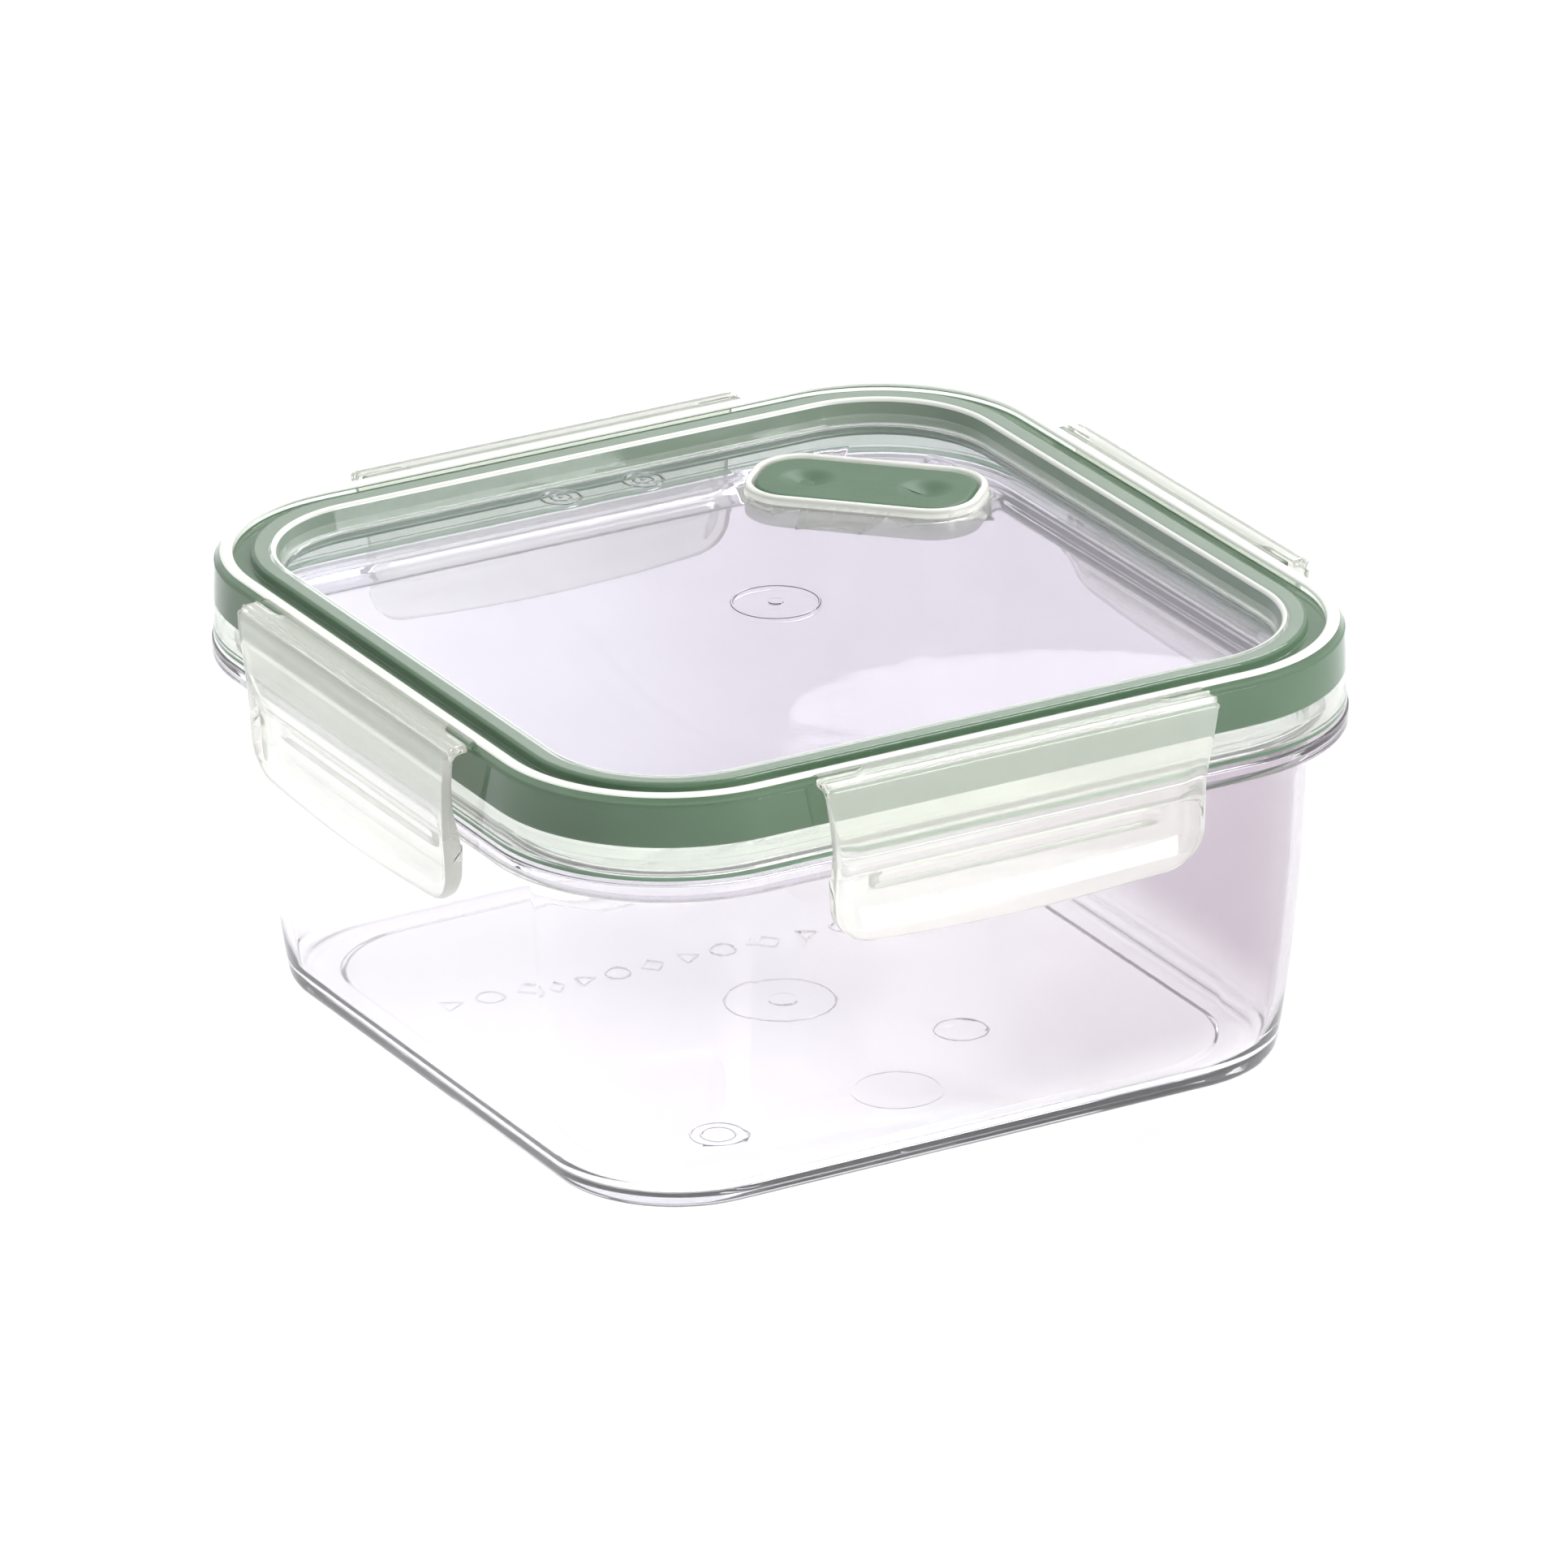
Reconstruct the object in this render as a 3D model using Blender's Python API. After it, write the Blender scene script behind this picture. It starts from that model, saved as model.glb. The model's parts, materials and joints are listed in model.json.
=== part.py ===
"""Snap lid food container: a clear tub, a milky lid with a green seal and vent rocker, and four hinged latches.

The base stands on z = 0 with the Z axis through its centre. The front faces -Y and the left side faces -X.
"""

import math

import bmesh
import bpy
from mathutils import Matrix, Vector

MM = 0.001

# Driving dimensions, in millimetres. A half-width is measured from the centre to the middle of a side.
GAP = 0.3
ARC_STEPS = 8

WALL_CENTRE = 45.4
RIM_CENTRE = 46.4
BASE_HALF = 67.4
WALL_FLARE = 5.0
WALL_HEIGHT = 60.0
WALL_THICKNESS = 1.9
BASE_FILLET = 4.0
FLOOR_TOP = 2.4
FOOT_INNER_HALF = 59.5
FOOT_RECESS = 0.6
FLANGE_HALF = 79.0
FLANGE_BOTTOM = 60.2
FLANGE_TOP = 63.2
NECK_OUTER_HALF = 74.6
NECK_INNER_HALF = 72.4
NECK_TOP = 70.0

PANEL_TOP = 73.8
PANEL_THICKNESS = 1.3
PANEL_HALF = 66.6
RIDGE_TOP = 78.4
INNER_RIDGE_HALF = 67.8
GROOVE_INNER_HALF = 72.0
GROOVE_OUTER_HALF = 75.0
GROOVE_FLOOR = 76.7
SKIRT_HALF = 78.3
SKIRT_SHOULDER = 76.8
SKIRT_FLARE = 0.4
SKIRT_BOTTOM = 63.9
SKIRT_WALL = 1.3
CHANNEL_INNER_HALF = 69.1
CHANNEL_BOTTOM = 70.6

SEAL_BOTTOM = 69.4

LATCH_HALF = 37.3
LATCH_TAPER = 2.2
LATCH_CORNER = 7.0
LATCH_TIP = 48.6
LATCH_BOW = 1.2
LATCH_BOW_START = 60.0
LATCH_STATIONS = 16
LATCH_INNER_HALF = 79.2
# The finger hollow in a latch's face: (height, depth) pairs, down the face.
FINGER_HOLLOW = ((67.0, 0.0), (61.5, 1.3), (58.0, 1.7), (55.0, 1.7), (51.5, 1.1), (49.6, 0.3), (48.6, 0.0))
FRAME_SHARE = 0.9
RIB_SHARE = 0.8
HINGE_HALF = 79.3
HINGE_HEIGHT = 77.95
WEB_HALF = 36.4
WEB_THICKNESS = 0.4

VENT_CENTRE = (39.2, 37.5)
VENT_LENGTH = 38.0
VENT_WIDTH = 18.2
VENT_CORNER = 6.8
VENT_TOP = 75.4
VENT_THICKNESS = 1.8
VENT_CLEARANCE = 0.5
VENT_RIM = 1.3
VENT_RIM_TOP = 75.7
POCKET_FLOOR = 70.3
POCKET_WALL = 1.0
ROCK_HEIGHT = 72.9
FULCRUM_RADIUS = 2.1
PLUG_OFFSET = 12.0
PLUG_RADIUS = 2.8
VENT_HOLE_RADIUS = 1.8
# Each hook tab: its middle along the button, its half-width and the height of its lower end.
HOOK_TABS = {"wide_tab": (-9.5, 2.5, 71.2), "narrow_tab": (5.0, 1.5, 71.5)}


def clear_scene():
    for old in list(bpy.data.objects):
        bpy.data.objects.remove(old, do_unlink=True)


def plastic(name, colour, roughness, transmission):
    """A moulded plastic or rubber, from clear to opaque."""
    material = bpy.data.materials.new(name)
    material.use_nodes = True
    shader = material.node_tree.nodes["Principled BSDF"]
    shader.inputs["Base Color"].default_value = (*colour, 1.0)
    shader.inputs["Roughness"].default_value = roughness
    shader.inputs["Metallic"].default_value = 0.0
    shader.inputs["Transmission Weight"].default_value = transmission
    return material


def clear_tub_plastic():
    return plastic("clear_tub_plastic", (0.86, 0.84, 0.89), 0.05, 0.95)


def milky_lid_plastic():
    return plastic("milky_lid_plastic", (0.80, 0.84, 0.77), 0.25, 0.6)


def milky_latch_plastic():
    return plastic("milky_latch_plastic", (0.86, 0.88, 0.83), 0.3, 0.5)


def green_seal_rubber():
    return plastic("green_seal_rubber", (0.14, 0.24, 0.15), 0.5, 0.0)


def green_vent_rubber():
    return plastic("green_vent_rubber", (0.15, 0.25, 0.16), 0.45, 0.0)


def rounded_square(half, centre, height):
    """The points of one ring: a square of this half-width whose corner arcs turn about (+-centre, +-centre)."""
    radius = max(half - centre, 0.5)
    middle = half - radius
    points = []
    for quarter in range(4):
        turn = quarter * math.pi / 2
        cx = middle * (math.cos(turn) - math.sin(turn))
        cy = middle * (math.sin(turn) + math.cos(turn))
        for step in range(ARC_STEPS + 1):
            angle = turn + step * math.pi / 2 / ARC_STEPS
            points.append((cx + radius * math.cos(angle), cy + radius * math.sin(angle), height))
    return points


def new_object(name, mesh_builder, material):
    """An object that holds the mesh which mesh_builder leaves in a bmesh, scaled from millimetres."""
    work = bmesh.new()
    mesh_builder(work)
    bmesh.ops.recalc_face_normals(work, faces=work.faces)
    bmesh.ops.scale(work, vec=(MM, MM, MM), verts=work.verts)
    mesh = bpy.data.meshes.new(name)
    work.to_mesh(mesh)
    work.free()
    obj = bpy.data.objects.new(name, mesh)
    bpy.context.scene.collection.objects.link(obj)
    if material:
        mesh.materials.append(material)
        mesh.shade_smooth()
        mesh.set_sharp_from_angle(angle=math.radians(35))
    return obj


def skin(work, rings, closed):
    """Joins equal rings of points into one surface. It closes on itself, or ends in two flat caps."""
    rows = [[work.verts.new(point) for point in ring] for ring in rings]
    pairs = list(zip(rows, rows[1:]))
    if closed:
        pairs.append((rows[-1], rows[0]))
    count = len(rows[0])
    for first, second in pairs:
        for i in range(count):
            j = (i + 1) % count
            work.faces.new((first[i], first[j], second[j], second[i]))
    if not closed:
        work.faces.new(rows[0])
        work.faces.new(rows[-1])


def cutter(name, mesh_builder):
    """A hidden helper object for a Boolean."""
    obj = new_object(name, mesh_builder, None)
    obj.hide_render = True
    obj.display_type = "WIRE"
    return obj


def boolean(obj, helper, operation):
    modifier = obj.modifiers.new(helper.name, "BOOLEAN")
    modifier.object = helper
    modifier.operation = operation


def wall_half(height):
    """Half-width of the tub's outside: it leans out from the base and stands almost upright under the rim."""
    return BASE_HALF + WALL_FLARE * (1 - (1 - height / WALL_HEIGHT) ** 2)


def quarter_round(start, end, bulge_first, steps):
    """Points on a quarter ellipse from start to end; bulge_first says that the half-width moves first."""
    points = []
    for step in range(1, steps):
        angle = step * math.pi / 2 / steps
        along, up = math.sin(angle), 1 - math.cos(angle)
        if not bulge_first:
            along, up = 1 - math.cos(angle), math.sin(angle)
        points.append((start[0] + (end[0] - start[0]) * along, start[1] + (end[1] - start[1]) * up))
    return points


def tub_outside():
    foot = (wall_half(BASE_FILLET) - BASE_FILLET, 0.0)
    side = (wall_half(BASE_FILLET), BASE_FILLET)
    profile = [(FOOT_INNER_HALF - FOOT_RECESS, FOOT_RECESS), (FOOT_INNER_HALF, 0.0), foot]
    profile += quarter_round(foot, side, True, 4)
    profile += [(wall_half(z), z) for z in (BASE_FILLET, 9.0, 16.0, 25.0, 36.0, 48.0)]
    return profile


def tub_rim():
    """From under the flange, over it, up the neck that meets the seal, and down the inside to the wall."""
    under = (wall_half(WALL_HEIGHT) + 0.1, FLANGE_BOTTOM - 1.8)
    return [
        under,
        (under[0] + 0.5, FLANGE_BOTTOM - 0.5),
        (under[0] + 1.8, FLANGE_BOTTOM),
        (FLANGE_HALF - 0.4, FLANGE_BOTTOM),
        (FLANGE_HALF, FLANGE_BOTTOM + 0.4),
        (FLANGE_HALF, FLANGE_TOP - 0.4),
        (FLANGE_HALF - 0.4, FLANGE_TOP),
        (NECK_OUTER_HALF + 0.5, FLANGE_TOP),
        (NECK_OUTER_HALF, FLANGE_TOP + 0.5),
        (NECK_OUTER_HALF, NECK_TOP - 0.6),
        (NECK_OUTER_HALF - 0.6, NECK_TOP),
        (NECK_INNER_HALF + 0.5, NECK_TOP),
        (NECK_INNER_HALF, NECK_TOP - 0.5),
        (NECK_INNER_HALF, FLANGE_TOP + 1.0),
        (NECK_INNER_HALF - 1.4, FLANGE_TOP - 1.6),
    ]


def tub_inside():
    low = FLOOR_TOP + BASE_FILLET
    profile = [(wall_half(z) - WALL_THICKNESS, z) for z in (58.0, 48.0, 36.0, 25.0, 16.0, low)]
    edge = profile[-1]
    floor = (edge[0] - BASE_FILLET, FLOOR_TOP)
    return profile + quarter_round(edge, floor, False, 4) + [floor]


def build_tub(material):
    def mesh_builder(work):
        walls = [rounded_square(half, WALL_CENTRE, z) for half, z in tub_outside()]
        walls += [rounded_square(half, RIM_CENTRE, z) for half, z in tub_rim()]
        walls += [rounded_square(half, WALL_CENTRE, z) for half, z in tub_inside()]
        skin(work, walls, closed=False)

    return new_object("container_tub", mesh_builder, material)


def lid_top_profile():
    """From the flat panel outwards over the two ridges, with the groove between them, and down the skirt."""
    return [
        (PANEL_HALF, PANEL_TOP),
        (INNER_RIDGE_HALF, PANEL_TOP + 0.9),
        (INNER_RIDGE_HALF + 0.1, RIDGE_TOP - 0.7),
        (INNER_RIDGE_HALF + 0.7, RIDGE_TOP),
        (GROOVE_INNER_HALF - 0.6, RIDGE_TOP),
        (GROOVE_INNER_HALF - 0.1, RIDGE_TOP - 0.5),
        (GROOVE_INNER_HALF, GROOVE_FLOOR),
        (GROOVE_OUTER_HALF, GROOVE_FLOOR),
        (GROOVE_OUTER_HALF + 0.1, RIDGE_TOP - 0.4),
        (GROOVE_OUTER_HALF + 0.6, RIDGE_TOP),
        (SKIRT_HALF - 1.3, RIDGE_TOP - 0.1),
        (SKIRT_HALF - 0.6, RIDGE_TOP - 0.6),
        (SKIRT_HALF, SKIRT_SHOULDER),
        (SKIRT_HALF + SKIRT_FLARE, SKIRT_BOTTOM),
    ]


def lid_under_profile():
    """From the skirt's lower edge inwards: up into the seal channel, over it and down, then the panel's underside."""
    skirt_inner = SKIRT_HALF - SKIRT_WALL
    return [
        (skirt_inner + SKIRT_FLARE, SKIRT_BOTTOM),
        (skirt_inner, SKIRT_SHOULDER - 0.5),
        (GROOVE_OUTER_HALF + 0.9, SKIRT_SHOULDER - 0.2),
        (GROOVE_OUTER_HALF + 0.7, GROOVE_FLOOR - 1.1),
        (GROOVE_INNER_HALF - 1.0, GROOVE_FLOOR - 1.1),
        (GROOVE_INNER_HALF - 1.0, RIDGE_TOP - 1.1),
        (CHANNEL_INNER_HALF, RIDGE_TOP - 1.1),
        (CHANNEL_INNER_HALF, CHANNEL_BOTTOM),
        (CHANNEL_INNER_HALF - 1.2, CHANNEL_BOTTOM),
        (PANEL_HALF + 0.9, PANEL_TOP - PANEL_THICKNESS - 0.5),
        (PANEL_HALF, PANEL_TOP - PANEL_THICKNESS),
    ]


def vent_frame():
    """The vent's own axes: X along the button, Y across it towards the corner of the lid, Z up."""
    place = Matrix.Translation(Vector((*VENT_CENTRE, 0.0)))
    return place @ Matrix.Rotation(-math.pi / 4, 4, "Z")


def rounded_bar(length, width, corner, height, frame):
    """One ring of a long bar with rounded corners, in the given frame."""
    points = []
    for quarter in range(4):
        turn = quarter * math.pi / 2
        cx = (length / 2 - corner) * (1 if quarter in (0, 3) else -1)
        cy = (width / 2 - corner) * (1 if quarter in (0, 1) else -1)
        for step in range(ARC_STEPS + 1):
            angle = turn + step * math.pi / 2 / ARC_STEPS
            local = Vector((cx + corner * math.cos(angle), cy + corner * math.sin(angle), height))
            points.append(tuple(frame @ local))
    return points


def bar(grow, bottom, top):
    """A mesh builder for a bar that is larger than the vent's button by grow all round."""
    length, width, corner = VENT_LENGTH + 2 * grow, VENT_WIDTH + 2 * grow, VENT_CORNER + grow

    def mesh_builder(work):
        frame = vent_frame()
        skin(work, [rounded_bar(length, width, corner, z, frame) for z in (bottom, top)], closed=False)

    return mesh_builder


def rod(radius, frame, bottom, top, sides):
    """A mesh builder for a round rod along the frame's Z axis."""

    def mesh_builder(work):
        rings = []
        for z in (bottom, top):
            angles = [2 * math.pi * step / sides for step in range(sides)]
            corners = [Vector((radius * math.cos(a), radius * math.sin(a), z)) for a in angles]
            rings.append([tuple(frame @ corner) for corner in corners])
        skin(work, rings, closed=False)

    return mesh_builder


def box(frame, low, high):
    """A mesh builder for a block between two corners, in the given frame."""

    def mesh_builder(work):
        rings = []
        for z in (low[2], high[2]):
            corners = [(low[0], low[1]), (high[0], low[1]), (high[0], high[1]), (low[0], high[1])]
            rings.append([tuple(frame @ Vector((x, y, z))) for x, y in corners])
        skin(work, rings, closed=False)

    return mesh_builder


def side_frame(quarter):
    """Turns the front side, which faces -Y, to another side: 1 is the right side, 2 the back and 3 the left."""
    return Matrix.Rotation(quarter * math.pi / 2, 4, "Z")


def build_lid(material):
    def mesh_builder(work):
        profile = lid_top_profile() + lid_under_profile()
        skin(work, [rounded_square(half, RIM_CENTRE, z) for half, z in profile], closed=False)

    lid = new_object("lid", mesh_builder, material)
    outer = VENT_CLEARANCE + VENT_RIM
    boolean(lid, cutter("vent_pocket_body", bar(outer, POCKET_FLOOR - POCKET_WALL, VENT_RIM_TOP)), "UNION")
    boolean(lid, cutter("vent_pocket_space", bar(VENT_CLEARANCE, POCKET_FLOOR, VENT_RIM_TOP + 1)), "DIFFERENCE")
    plug_frame = vent_frame() @ Matrix.Translation(Vector((-PLUG_OFFSET, 0.0, 0.0)))
    hole = rod(VENT_HOLE_RADIUS, plug_frame, POCKET_FLOOR - 3, POCKET_FLOOR + 1, 16)
    boolean(lid, cutter("vent_hole", hole), "DIFFERENCE")
    for quarter in range(4):
        low = (-WEB_HALF - 0.6, -SKIRT_HALF, SKIRT_SHOULDER + 0.3)
        high = (WEB_HALF + 0.6, -SKIRT_HALF + 2.2, RIDGE_TOP - 0.25)
        boolean(lid, cutter(f"hinge_land_{quarter}", box(side_frame(quarter), low, high)), "UNION")
    return lid


def build_seal(material):
    """The seal fills the lid's channel, and its underside is hollowed for the tub's neck."""
    outer = SKIRT_HALF - SKIRT_WALL - GAP
    inner = CHANNEL_INNER_HALF + GAP
    profile = [
        (outer, SKIRT_SHOULDER - 1.0),
        (outer + 0.15, SEAL_BOTTOM),
        (NECK_OUTER_HALF + 2 * GAP, SEAL_BOTTOM),
        (NECK_OUTER_HALF + GAP, NECK_TOP + GAP),
        (NECK_INNER_HALF - GAP, NECK_TOP + GAP),
        (NECK_INNER_HALF - 2 * GAP, SEAL_BOTTOM + 0.6),
        (inner, CHANNEL_BOTTOM),
        (inner, RIDGE_TOP - 1.1 - GAP),
        (GROOVE_INNER_HALF - 1.0 - GAP, RIDGE_TOP - 1.1 - GAP),
        (GROOVE_INNER_HALF - 1.0 - GAP, GROOVE_FLOOR - 1.1 - GAP),
        (GROOVE_OUTER_HALF + 1.0, GROOVE_FLOOR - 1.1 - GAP),
    ]

    def mesh_builder(work):
        skin(work, [rounded_square(half, RIM_CENTRE, z) for half, z in profile], closed=True)

    return new_object("lid_seal_ring", mesh_builder, material)


def build_vent_rocker(material):
    """The button with its fulcrum rib, the plug that closes the vent hole, and two hook tabs on its inner side."""
    frame = vent_frame()
    bottom = VENT_TOP - VENT_THICKNESS
    rocker = new_object("vent_rocker", bar(0.0, bottom, VENT_TOP), material)
    across = Matrix.Translation(Vector((0.0, 0.0, ROCK_HEIGHT))) @ Matrix.Rotation(math.pi / 2, 4, "X")
    rib = rod(FULCRUM_RADIUS, frame @ across, -VENT_WIDTH / 2 + 2, VENT_WIDTH / 2 - 2, 16)
    boolean(rocker, cutter("fulcrum_rib", rib), "UNION")
    plug_frame = frame @ Matrix.Translation(Vector((-PLUG_OFFSET, 0.0, 0.0)))
    plug = rod(PLUG_RADIUS, plug_frame, POCKET_FLOOR + GAP, bottom + 0.5, 16)
    boolean(rocker, cutter("vent_plug", plug), "UNION")
    side = VENT_WIDTH / 2
    for name, (middle, half, low) in HOOK_TABS.items():
        start = (middle - half, -side + 0.4, low)
        end = (middle + half, -side + 1.4, bottom + 0.5)
        boolean(rocker, cutter(name, box(frame, start, end)), "UNION")
    return rocker


def latch_profile():
    """A latch's section: its outside from the hinge down to the tip, and its inside from there up to the hinge.

    The rib that hooks under the flange is the part inside LATCH_INNER_HALF.
    """
    outside = [
        (HINGE_HALF + 1.0, 78.3),
        (81.8, 78.0),
        (82.8, 77.4),
        (83.1, 76.4),
        (83.0, 71.0),
        (82.7, 65.6),
        (82.5, 61.5),
        (82.3, 58.0),
        (82.1, 55.0),
        (81.9, 51.5),
        (81.7, 49.6),
        (81.3, LATCH_TIP),
    ]
    inside = [
        (80.3, LATCH_TIP),
        (79.6, 50.6),
        (LATCH_INNER_HALF, 54.0),
        (LATCH_INNER_HALF, 57.0),
        (LATCH_INNER_HALF - 2.0, 57.6),
        (LATCH_INNER_HALF - 2.3, 58.8),
        (LATCH_INNER_HALF - 1.8, FLANGE_BOTTOM - GAP),
        (LATCH_INNER_HALF + 0.2, FLANGE_BOTTOM - GAP),
        (79.8, 62.4),
        (81.0, 66.6),
        (81.6, 71.5),
        (81.7, 75.8),
        (81.2, 76.7),
        (HINGE_HALF + 1.0, 77.3),
    ]
    return outside, inside


def hollow_depth(height):
    """How deep the finger hollow is at this height."""
    for (high, upper_depth), (low, lower_depth) in zip(FINGER_HOLLOW, FINGER_HOLLOW[1:]):
        if low <= height <= high:
            share = (high - height) / (high - low)
            return upper_depth + (lower_depth - upper_depth) * share
    return 0.0


def latch_half_length(height):
    """Half the latch's length at this height: it narrows downwards, and its lower corners are round."""
    drop = min(max((SKIRT_SHOULDER - height) / 13, 0), 1)
    half = LATCH_HALF - LATCH_TAPER * drop
    into_corner = min(max(LATCH_TIP + LATCH_CORNER - height, 0), LATCH_CORNER)
    return half - LATCH_CORNER + math.sqrt(LATCH_CORNER**2 - into_corner**2)


def build_latch(name, quarter, material):
    def mesh_builder(work):
        frame = side_frame(quarter)
        rings = []
        for station in range(LATCH_STATIONS + 1):
            across = 2 * station / LATCH_STATIONS - 1
            outside, inside = latch_profile()
            if abs(across) < FRAME_SHARE:
                outside = [(half - hollow_depth(z), z) for half, z in outside]
            ring = []
            for half, z in outside + inside:
                if abs(across) > RIB_SHARE:
                    half = max(half, LATCH_INNER_HALF)
                lowered = max(LATCH_BOW_START - z, 0) / (LATCH_BOW_START - LATCH_TIP)
                z_bowed = z - LATCH_BOW * lowered * (1 - across**2)
                ring.append(tuple(frame @ Vector((across * latch_half_length(z), -half, z_bowed))))
            rings.append(ring)
        skin(work, rings, closed=False)

    return new_object(name, mesh_builder, material)


def build_hinge_web(name, quarter, material):
    """The thin film of the living hinge, between the lid's hinge land and the latch's shelf."""
    low = (-WEB_HALF, -HINGE_HALF - 0.7, HINGE_HEIGHT - WEB_THICKNESS / 2)
    high = (WEB_HALF, -SKIRT_HALF - GAP, HINGE_HEIGHT + WEB_THICKNESS / 2)
    return new_object(name, box(side_frame(quarter), low, high), material)


def move_origin(obj, point):
    """Puts the object's origin on its joint's axis and leaves its shape where it is."""
    offset = Vector(point) * MM
    obj.data.transform(Matrix.Translation(-offset))
    obj.location = offset


def build_latches_and_webs(material):
    for quarter, side in enumerate(("front", "right", "back", "left")):
        latch = build_latch(f"{side}_latch", quarter, material)
        axis_point = side_frame(quarter) @ Vector((0.0, -HINGE_HALF, HINGE_HEIGHT))
        move_origin(latch, axis_point)
        build_hinge_web(f"{side}_hinge_web", quarter, material)


def main():
    clear_scene()
    build_tub(clear_tub_plastic())
    build_lid(milky_lid_plastic())
    build_seal(green_seal_rubber())
    build_vent_rocker(green_vent_rubber())
    build_latches_and_webs(milky_latch_plastic())


main()
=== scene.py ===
import json
import math

import bmesh
import bpy
from mathutils import Matrix, Quaternion, Vector


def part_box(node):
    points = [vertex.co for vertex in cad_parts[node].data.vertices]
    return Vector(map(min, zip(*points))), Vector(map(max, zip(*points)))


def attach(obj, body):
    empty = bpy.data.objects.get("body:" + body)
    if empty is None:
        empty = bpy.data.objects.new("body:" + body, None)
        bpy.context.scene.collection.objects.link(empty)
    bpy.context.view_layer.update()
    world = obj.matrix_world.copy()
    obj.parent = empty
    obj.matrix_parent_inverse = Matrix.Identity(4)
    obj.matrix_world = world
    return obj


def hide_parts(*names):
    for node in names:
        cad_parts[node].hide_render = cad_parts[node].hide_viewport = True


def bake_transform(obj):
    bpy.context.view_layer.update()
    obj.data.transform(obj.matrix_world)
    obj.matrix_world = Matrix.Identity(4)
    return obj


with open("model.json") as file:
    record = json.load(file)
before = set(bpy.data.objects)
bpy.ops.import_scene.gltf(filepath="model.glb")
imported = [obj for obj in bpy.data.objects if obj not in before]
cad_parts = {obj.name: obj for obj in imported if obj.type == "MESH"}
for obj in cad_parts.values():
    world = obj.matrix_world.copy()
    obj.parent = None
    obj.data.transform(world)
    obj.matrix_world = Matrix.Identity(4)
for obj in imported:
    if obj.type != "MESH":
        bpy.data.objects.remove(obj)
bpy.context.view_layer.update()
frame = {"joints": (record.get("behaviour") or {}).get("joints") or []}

# Lengths are in millimetres in the frame's axes. A half-width runs from the centre to the middle of a side.
MM = 0.001
SIDES = ("front", "right", "back", "left")


def millimetres(node):
    """Lowest and highest corner of a CAD node."""
    low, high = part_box(node)
    return low / MM, high / MM


TUB = millimetres("container_tub")[1]
LID = millimetres("lid")[1]
LATCH_HIGH = millimetres("front_latch")[1]
WEB_LOW, WEB_HIGH = millimetres("front_hinge_web")
VENT_HIGH = millimetres("vent_rocker")[1]
JOINTS = {joint["name"]: joint for joint in frame["joints"]}
HINGE = Vector(JOINTS["front_latch_hinge"]["pos_m"]) / MM
VENT = Vector(JOINTS["vent_rock"]["pos_m"]) / MM

# Mesh detail
ARC_STEPS = 24
STRAIGHT_STEPS = 10
RING_POINTS = 4 * (ARC_STEPS + STRAIGHT_STEPS)
FILLET_STEPS = 5
LONGEST_FILLET = 0.48  # as a share of the shorter neighbouring stretch
WALL_STEP = 3.5
OUTLINE_STEP = 0.7
ROUND_SIDES = 48
ROD_SIDES = 32

# Rounded squares: the corner arcs of the walls and of the rim turn about these points, on both axes.
WALL_CENTRE = 45.4
RIM_CENTRE = 46.4
SMALLEST_CORNER = 0.32  # as a share of the half-width

# Tub
FLANGE_HALF = TUB.x
NECK_TOP = TUB.z
FLANGE_TOP = 63.2
FLANGE_BOTTOM = 60.2
NECK_OUTER = 74.6
NECK_INNER = 72.4
BASE_HALF = 67.4
WALL_FLARE = 5.0
WALL_HEIGHT = 60.0
WALL = 1.9
BASE_FILLET = 4.0
INNER_FILLET = 6.0
FLOOR_TOP = 2.4
FOOT_RECESS = 0.6
FOOT_INNER = 59.5
WALL_TOP = 58.0

# Lid
RIDGE_TOP = LID.z
SKIRT_BOTTOM = 63.9
SKIRT_HALF = LID.x - 0.4
SHOULDER = 76.8
PANEL_TOP = 73.8
PANEL_BOTTOM = 72.5
PANEL_HALF = 66.6
PANEL_CROWN = 0.6
CROWN_FLAT_HALF = 12
RIDGE_INNER = 67.8
GROOVE_INNER = 72.0
GROOVE_OUTER = 75.0
GROOVE_FLOOR = 76.7
CHANNEL_INNER = 69.1
CHANNEL_BOTTOM = 70.6
SKIRT_WALL = 1.3
SKIN = 0.45
SEAL_BITE = 0.05
SEAL_INNER_BOTTOM = 75.1
SEAL_OUTER_BOTTOM = 69.3
PANEL_RINGS = (CROWN_FLAT_HALF, 20, 28, 36, 44, 52, 59)
# Two fine lines run round the skirt; each is a step of 0.1 mm between these heights.
UPPER_LINE = (67.6, 67.4)
LOWER_LINE = (65.3, 65.1)
LAND_MARGIN = 0.6
LAND_DEPTH = 2.2

# The lid's material slots. Ridge tops carry a painted highlight, the skirt's edge a painted seal
# reflection.
RIM_SLOT, FROSTED_HIGHLIGHT_SLOT, HAZY_SLOT, PANEL_SLOT, SEAL_REFLECTION_EDGE_SLOT, POCKET_SLOT, SLOPE_SLOT = range(7)

# Moulded marks: middles of the two date discs near the panel's back edge, and depth of a mark's foot.
DATE_DISCS = ((-7.3, 61.8), (8.8, 61.8))
MARK_ROOT = 0.3
# The row of small marks on the floor: first place, step to the next, how many, and their shapes and size.
FLOOR_ROW_START = (-49.0, 24.7)
FLOOR_ROW_STEP = (7.3, -0.42)
FLOOR_ROW_COUNT = 11
FLOOR_ROW_SIDES = (3, ROUND_SIDES, 4)
FLOOR_ROW_RADII = (2.6, 2.2)
FLOOR_ROW_HEIGHT = 0.08

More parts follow.
